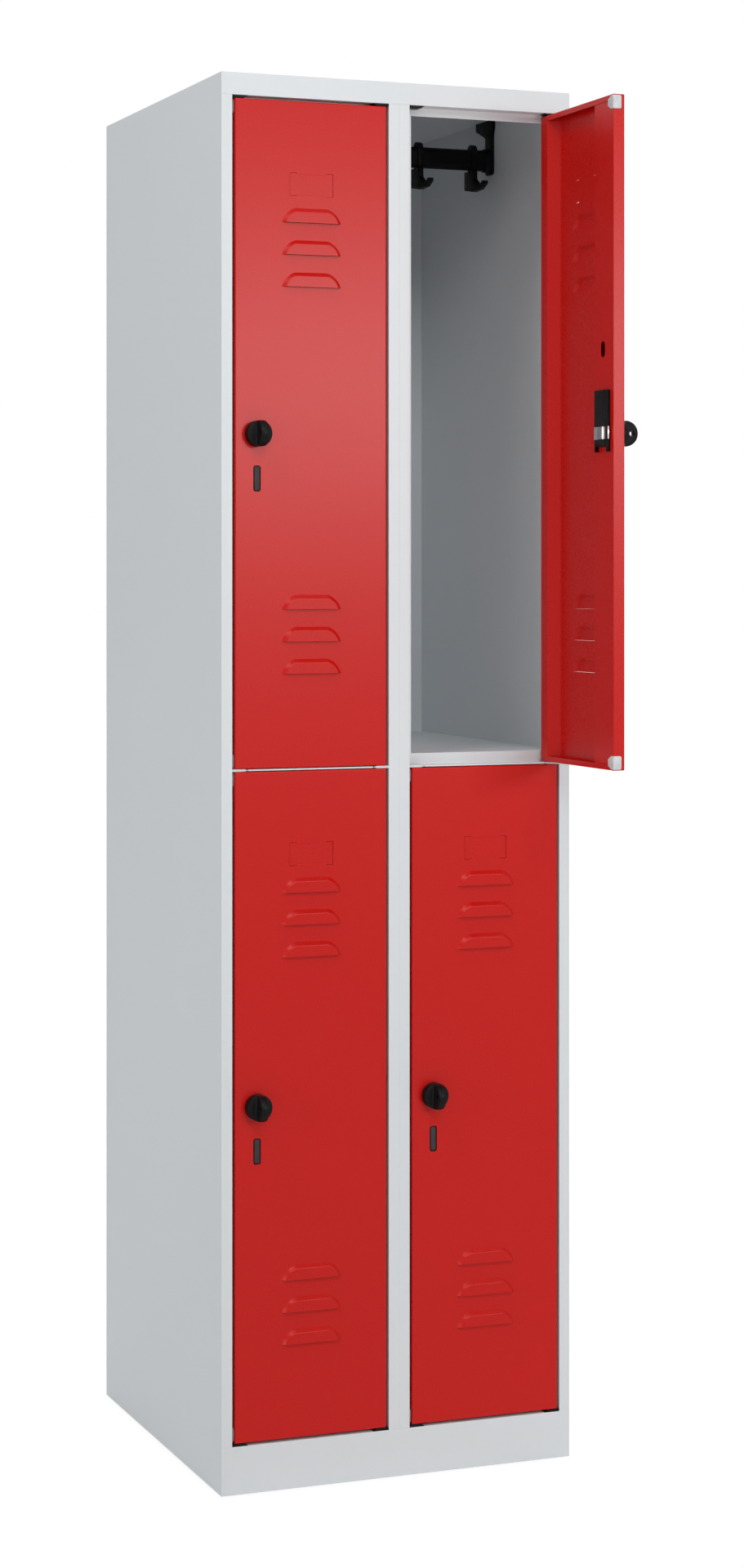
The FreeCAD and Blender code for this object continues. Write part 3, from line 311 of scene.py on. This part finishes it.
@dataclass(frozen=True)
class MouldedPlastic(Finish):
    """Moulded plastic with the fine grain of an eroded mould.

    Attributes:
        grain: Depth of the grain in metres.
        gloss: Specular level of the plastic.
        drift: Share by which the tone wanders.
        detail: Octaves of finer noise in its tone and its roughness.
        tone_scale: Drifts of tone per metre.
        wear_scale: Drifts of roughness per metre.
        polish: Roughness that handling takes off.
        dulling: Roughness that wear adds.
        grain_scale: Cells of the grain per metre.
    """

    grain: float = 0.00002
    gloss: float = 0.1
    drift: float = 0.1
    detail: float = 3.0
    tone_scale: float = 60.0
    wear_scale: float = 180.0
    polish: float = 0.05
    dulling: float = 0.06
    grain_scale: float = 2400.0

    def mix(self) -> Material:
        """Build the plastic.

        Returns:
            The plastic's material.
        """
        tree = ShaderTree(self.name)
        tone = tree.noise(self.tone_scale, self.detail)
        wear = tree.noise(self.wear_scale, self.detail)
        smooth = self.roughness - self.polish
        rough = self.roughness + self.dulling
        tree.put("Base Color", tree.tint(tone, *self.shades(self.drift)))
        tree.put("Roughness", tree.spread(wear, smooth, rough))
        tree.put("Normal", tree.relief(tree.noise(self.grain_scale), self.grain))
        tree.put("Specular IOR Level", self.gloss)
        return tree.material


@dataclass(frozen=True)
class Plating(Finish):
    """Plated or drawn steel with fine lines along one axis.

    Attributes:
        lines: Depth of the lines in metres.
        stretch: Scale of the lines along X, Y and Z.
        line_scale: Lines per metre across them.
        tone_scale: Drifts of tone per metre.
        tones: Factors of the darkest and the lightest tone.
        sheens: Factors of the smoothest and the roughest line.
    """

    lines: float = 0.000002
    stretch: Point = (0.05, 0.05, 1.0)
    line_scale: float = 1600.0
    tone_scale: float = 90.0
    tones: tuple[float, float] = (0.94, 1.04)
    sheens: tuple[float, float] = (0.8, 1.2)

    def mix(self) -> Material:
        """Build the metal.

        Returns:
            The metal's material.
        """
        tree = ShaderTree(self.name)
        streak = tree.noise(self.line_scale, stretch=self.stretch)
        dark, light = (shade(self.colour, factor) for factor in self.tones)
        smooth, rough = (self.roughness * factor for factor in self.sheens)
        tree.put("Base Color", tree.tint(tree.noise(self.tone_scale), dark, light))
        tree.put("Metallic", 1.0)
        tree.put("Roughness", tree.spread(streak, smooth, rough))
        tree.put("Normal", tree.relief(streak, self.lines))
        return tree.material


LIGHT_GREY = PowderCoat("light_grey_powder_coat", Slot.CARCASS, (0.745, 0.785, 0.805), 0.36)
SIGNAL_RED = PowderCoat("red_powder_coat", Slot.DOOR, (0.575, 0.0085, 0.0055), 0.28)
BLACK = MouldedPlastic("black_moulded_plastic", Slot.BLACK, (0.0055, 0.0055, 0.0058), 0.4)
PLUG_GREY = MouldedPlastic("dark_grey_plug", Slot.BLACK, (0.05, 0.045, 0.046), 0.5)
PALE = MouldedPlastic("pale_grey_plastic", Slot.LIGHT, (0.66, 0.675, 0.685), 0.45, gloss=0.3)
CHROME = Plating("chrome_plate", Slot.CHROME, (0.80, 0.80, 0.815), 0.1)
STEEL = Plating("zinc_steel", Slot.STEEL, (0.55, 0.555, 0.57), 0.34)


def pick_only(piece: Object) -> None:
    """Select one object, make it active and deselect all others.

    Args:
        piece: The object.
    """
    bpy.ops.object.select_all(action="DESELECT")
    piece.select_set(True)
    bpy.context.view_layer.objects.active = piece


def finish_mesh(piece: Object) -> None:
    """Apply a piece's modifiers and place, and smooth its shallow edges.

    Args:
        piece: The piece.
    """
    pick_only(piece)
    for modifier in list(piece.modifiers):
        bpy.ops.object.modifier_apply(modifier=modifier.name)
    bpy.ops.object.transform_apply(location=True, rotation=True, scale=True)
    bpy.ops.object.shade_smooth_by_angle(angle=SMOOTH_ANGLE)


def soften(piece: Object, radius: float, segments: int = 2) -> None:
    """Add a bevel along the sharp edges of a piece.

    Args:
        piece: The piece.
        radius: Width of the bevel in metres.
        segments: Facets across the bevel.
    """
    bevel = piece.modifiers.new("edges", "BEVEL")
    bevel.width = radius
    bevel.segments = segments
    bevel.limit_method = "ANGLE"
    bevel.angle_limit = SMOOTH_ANGLE
    bevel.use_clamp_overlap = True


def rounded_copy(node: str, radius: float) -> Object:
    """Copy a CAD node, merge its triangles into faces and round its edges.

    Args:
        node: Name of the CAD node.
        radius: Rounding of its edges in metres.

    Returns:
        The rounded copy.
    """
    pick_only(frame["nodes"][node])
    bpy.ops.object.duplicate()
    piece = bpy.context.view_layer.objects.active
    piece.name = f"{node}_moulding"
    del piece["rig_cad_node"]
    bpy.ops.mesh.customdata_custom_splitnormals_clear()
    bpy.ops.object.mode_set(mode="EDIT")
    bpy.ops.mesh.select_all(action="SELECT")
    bpy.ops.mesh.remove_doubles(threshold=MERGE_DISTANCE)
    bpy.ops.mesh.dissolve_limited(angle_limit=FLAT_ANGLE)
    bpy.ops.object.mode_set(mode="OBJECT")
    soften(piece, radius)
    finish_mesh(piece)
    return piece


def mould(node: str, body: str, finish: Finish, radius: float) -> Object:
    """Show a CAD node as a rounded copy in a finish.

    Args:
        node: Name of the CAD node.
        body: Body that it moves with.
        finish: Its finish.
        radius: Rounding of its edges in metres.

    Returns:
        The rounded copy.
    """
    piece = rounded_copy(node, radius)
    finish.dress(piece)
    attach(piece, body)
    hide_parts(node)
    LOG.info("%s: %d faces", piece.name, len(piece.data.polygons))
    return piece


def dress_nodes(nodes: Iterable[str], finish: Finish) -> None:
    """Give CAD nodes a finish as they are.

    Args:
        nodes: Names of the nodes.
        finish: Their finish.
    """
    for node in nodes:
        finish.dress(frame["nodes"][node])
        LOG.info("%s: %s", node, finish.name)


@dataclass
class Carcass:
    """Welded sheet-steel body with its corner blocks, pins and nuts.

    Attributes:
        body: Body that all of it belongs to.
        sheets: Painted sheets.
        metal: Bare steel pieces.
        block_round: Rounding of the corner blocks in metres.
    """

    body: str = "carcass"
    sheets: tuple[str, ...] = (
        "left_side_panel",
        "right_side_panel",
        "centre_partition_left",
        "centre_partition_right",
        "back_panel",
        "top_panel",
        "plinth_panel",
        "floor_pan",
        "middle_shelf_left",
        "middle_shelf_right",
    )
    metal: tuple[str, ...] = ("hinge_pins", "foot_nuts")
    block_round: float = 0.5 * MM

    def build(self) -> None:
        """Paint the sheets and round the blocks."""
        dress_nodes(self.sheets, LIGHT_GREY)
        dress_nodes(self.metal, STEEL)
        mould("frame_corner_blocks", self.body, BLACK, self.block_round)
        mould("shelf_corner_blocks", self.body, PALE, self.block_round)


@dataclass
class Door:
    """One hinged door with its latch.

    Attributes:
        tier: Row of the door.
        column: Column of the door.
        knob_round: Rounding of the knob in metres.
        housing_round: Rounding of the lock housing in metres.
        bolt_round: Rounding of the latch bolt in metres.
        cap_round: Rounding of the corner caps in metres.
        plug_round: Rounding of the slot plug in metres.
        bar_depth: Depth below the plug's highest face that still counts as its bar, in metres; the
            deeper faces keep black as painted shade around the bar.
    """

    tier: Tier
    column: Column
    knob_round: float = 0.7 * MM
    housing_round: float = 0.5 * MM
    bolt_round: float = 0.35 * MM
    cap_round: float = 0.45 * MM
    plug_round: float = 0.12 * MM
    bar_depth: float = 0.2 * MM

    @property
    def name(self) -> str:
        """Tier and column in one word."""
        return f"{self.tier.value}_{self.column.value}"

    @property
    def outward(self) -> Vector:
        """Direction that the door's face points in at rest."""
        if (self.tier, self.column) == OPEN_DOOR:
            return Vector((1.0, 0.0, 0.0))
        return Vector((0.0, -1.0, 0.0))

    def build_plug(self) -> None:
        """Mould the slot plug: dark grey on its raised bar, black on its border as painted shade around
        the bar.
        """
        node = f"{self.name}_door"
        plug = mould(f"{node}_slot_plug", node, BLACK, self.plug_round)
        plug.data.materials.append(PLUG_GREY.material())
        # Faces near the top form the bar in the plug's own dark grey; the rest stays black as painted
        # shade in the groove around it.
        crest = max(self.outward.dot(vertex.co) for vertex in plug.data.vertices)
        for face in plug.data.polygons:
            if self.outward.dot(face.center) > crest - self.bar_depth:
                face.material_index = 1

    def build(self) -> None:
        """Paint the door and round its mouldings."""
        node = f"{self.name}_door"
        dress_nodes((f"{node}_panel", f"{node}_stiffener"), SIGNAL_RED)
        self.build_plug()
        mould(f"{node}_lock_housing", node, BLACK, self.housing_round)
        mould(f"{node}_corner_caps", node, PALE, self.cap_round)
        mould(f"{node}_knob", f"{self.name}_knob", BLACK, self.knob_round)
        mould(f"{node}_latch_bolt", f"{self.name}_bolt", CHROME, self.bolt_round)


@dataclass
class CoatRails:
    """Rails, their brackets and the sliding hooks.

    Attributes:
        body: Body that rails and brackets belong to.
        bracket_round: Rounding of the brackets in metres.
        hook_round: Rounding of the hooks in metres.
        places: Places of the hooks along a rail.
    """

    body: str = "carcass"
    bracket_round: float = 0.6 * MM
    hook_round: float = 1.3 * MM
    places: tuple[str, ...] = ("left", "middle", "right")

    def build(self) -> None:
        """Dress the rails and round the brackets and hooks."""
        dress_nodes(("coat_rails",), BLACK)
        mould("rail_brackets", self.body, BLACK, self.bracket_round)
        for tier in Tier:
            for column in Column:
                for place in self.places:
                    hook = f"{tier.value}_{column.value}_coat_hook_{place}"
                    mould(hook, hook, BLACK, self.hook_round)


@dataclass
class Feet:
    """Levelling feet.

    Attributes:
        corners: Corners that they stand at.
        edge_round: Rounding of the discs in metres.
    """

    corners: tuple[str, ...] = ("front_left", "front_right", "rear_left", "rear_right")
    edge_round: float = 0.5 * MM

    def build(self) -> None:
        """Round the feet."""
        for corner in self.corners:
            foot = f"levelling_foot_{corner}"
            mould(foot, foot, PALE, self.edge_round)


@dataclass
class Softbox:
    """An area lamp that points at a spot on the object.

    Attributes:
        name: Name of the lamp.
        place: Place of the lamp in metres.
        target: Spot that it points at.
        width: Width of the lamp in metres.
        height: Height of the lamp in metres.
        power: Power in watts.
    """

    name: str
    place: Point
    target: Point
    width: float
    height: float
    power: float

    def build(self) -> None:
        """Add the lamp."""
        bpy.ops.object.light_add(type="AREA", location=self.place)
        lamp = bpy.context.active_object
        lamp.name = self.name
        aim = Vector(self.target) - Vector(self.place)
        lamp.rotation_euler = aim.to_track_quat("-Z", "Y").to_euler()
        lamp.data.shape = "RECTANGLE"
        lamp.data.size = self.width
        lamp.data.size_y = self.height
        lamp.data.energy = self.power


@dataclass
class Studio:
    """Camera, pale floor, white surroundings and soft lamps.

    Attributes:
        camera_place: Place of the camera in metres.
        camera_turn: Turn of the level camera about the vertical, in degrees.
        sensor: Width of the camera's sensor in millimetres.
        lens: Focal length in millimetres.
        shift: Sideways and upward shift of the lens.
        floor_size: Side of the floor in metres.
        floor_colour: Colour of the floor in the light of the lamps.
        surround: Strength of the surroundings that light the object.
        shadow_share: Share of the floor's own shading that the camera sees near the object.
        shadow_fade: Distances from the object between which that share fades out, in metres.
        floor_white: Strength that brings the lit floor up to white.
        lamps: Soft lamps around the object.
    """

    camera_place: Point = (-1.5127, -3.8014, 1.203)
    camera_turn: float = -20.34
    sensor: float = 36.0
    lens: float = 66.83
    shift: tuple[float, float] = (0.0711, -0.1359)
    floor_size: float = 40.0
    floor_colour: Colour = (0.95, 0.95, 0.95)
    surround: float = 0.19
    shadow_share: float = 0.15
    shadow_fade: tuple[float, float] = (1.2, 3.2)
    floor_white: float = 1.09
    lamps: tuple[Softbox, ...] = (
        Softbox("front_softbox", (1.5, -4.2, 1.74), (0.0, -0.2, 1.3), 1.8, 0.42, 45.0),
        Softbox("side_softbox", (-5.0, -1.3, 1.6), (0.0, -0.2, 1.0), 2.4, 2.4, 46.0),
        Softbox("high_softbox", (-0.3, -3.6, 3.6), (0.0, -0.2, 1.1), 2.4, 1.6, 54.0),
        Softbox("top_softbox", (-1.9, -1.2, 4.2), (0.0, -0.2, 1.2), 1.2, 1.2, 22.0),
        Softbox("back_softbox", (3.2, 4.2, 2.2), (0.0, 0.2, 0.9), 2.6, 2.6, 150.0),
    )

    def build(self) -> None:
        """Add everything around the object."""
        self.add_camera()
        self.add_floor()
        self.light_surroundings()
        for lamp in self.lamps:
            lamp.build()

    def add_camera(self) -> None:
        """Add the level camera of the photograph."""
        bpy.ops.object.camera_add(location=self.camera_place)
        camera = bpy.context.active_object
        camera.rotation_euler = (LEVEL_PITCH, 0.0, math.radians(self.camera_turn))
        camera.data.sensor_fit = "AUTO"
        camera.data.sensor_width = self.sensor
        camera.data.lens = self.lens
        camera.data.shift_x, camera.data.shift_y = self.shift
        bpy.context.scene.camera = camera

    def seen_directly(self, tree: bpy.types.NodeTree) -> NodeSocket:
        """Whether a ray comes from the camera, a reflection or a clear piece.

        Args:
            tree: Node tree that needs the answer.

        Returns:
            One for such rays and zero for the rays that light the object.
        """
        path = tree.nodes.new("ShaderNodeLightPath")
        total: NodeSocket = path.outputs["Is Camera Ray"]
        for ray in ("Is Glossy Ray", "Is Transmission Ray"):
            either = tree.nodes.new("ShaderNodeMath")
            either.operation = "MAXIMUM"
            tree.links.new(total, either.inputs[0])
            tree.links.new(path.outputs[ray], either.inputs[1])
            total = either.outputs["Value"]
        return total

    def white_share(self, tree: bpy.types.NodeTree) -> NodeSocket:
        """Share of plain white in the floor, which grows to one away from the object.

        Args:
            tree: Node tree of the floor's material.

        Returns:
            The share, which is zero for the rays that light the object.
        """
        place = tree.nodes.new("ShaderNodeTexCoord")
        distance = tree.nodes.new("ShaderNodeVectorMath")
        distance.operation = "LENGTH"
        tree.links.new(place.outputs["Object"], distance.inputs[0])
        near, far = self.shadow_fade
        fade = tree.nodes.new("ShaderNodeMapRange")
        fade.inputs["From Min"].default_value = near
        fade.inputs["From Max"].default_value = far
        fade.inputs["To Min"].default_value = 1.0 - self.shadow_share
        fade.inputs["To Max"].default_value = 1.0
        tree.links.new(distance.outputs["Value"], fade.inputs["Value"])
        share = tree.nodes.new("ShaderNodeMath")
        share.operation = "MULTIPLY"
        tree.links.new(self.seen_directly(tree), share.inputs[0])
        tree.links.new(fade.outputs["Result"], share.inputs[1])
        return share.outputs["Value"]

    def floor_material(self) -> Material:
        """A white paint that shows only a share of its own shading.

        Returns:
            The floor's material.
        """
        material = bpy.data.materials.new("studio_white")
        material.use_nodes = True
        tree = material.node_tree
        tree.nodes.clear()
        paint = tree.nodes.new("ShaderNodeBsdfDiffuse")
        paint.inputs["Color"].default_value = (*self.floor_colour, 1.0)
        glow = tree.nodes.new("ShaderNodeEmission")
        glow.inputs["Color"].default_value = WHITE
        glow.inputs["Strength"].default_value = self.floor_white
        blend = tree.nodes.new("ShaderNodeMixShader")
        tree.links.new(self.white_share(tree), blend.inputs["Fac"])
        tree.links.new(paint.outputs["BSDF"], blend.inputs[1])
        tree.links.new(glow.outputs["Emission"], blend.inputs[2])
        output = tree.nodes.new("ShaderNodeOutputMaterial")
        tree.links.new(blend.outputs["Shader"], output.inputs["Surface"])
        return material

    def add_floor(self) -> None:
        """Add a white floor that keeps a soft part of the object's shadow."""
        bpy.ops.mesh.primitive_plane_add(size=self.floor_size, location=(0.0, 0.0, 0.0))
        floor = bpy.context.active_object
        floor.name = "studio_floor"
        floor.data.materials.append(self.floor_material())

    def light_surroundings(self) -> None:
        """Add surroundings that are white to the camera and weaker as light."""
        world = bpy.data.worlds.new("studio_surroundings")
        bpy.context.scene.world = world
        world.use_nodes = True
        tree = world.node_tree
        tree.nodes.clear()
        strength = tree.nodes.new("ShaderNodeMapRange")
        strength.inputs["To Min"].default_value = self.surround
        strength.inputs["To Max"].default_value = 1.0
        tree.links.new(self.seen_directly(tree), strength.inputs["Value"])
        background = tree.nodes.new("ShaderNodeBackground")
        background.inputs["Color"].default_value = WHITE
        tree.links.new(strength.outputs["Result"], background.inputs["Strength"])
        output = tree.nodes.new("ShaderNodeOutputWorld")
        tree.links.new(background.outputs["Background"], output.inputs["Surface"])


def main() -> None:
    """Build the locker's looks and its studio."""
    logging.basicConfig(level=logging.INFO, format="%(name)s: %(message)s")
    bpy.context.scene.view_settings.view_transform = "Standard"
    Carcass().build()
    for tier in Tier:
        for column in Column:
            Door(tier, column).build()
    CoatRails().build()
    Feet().build()
    Studio().build()


if __name__ == "__main__":
    main()
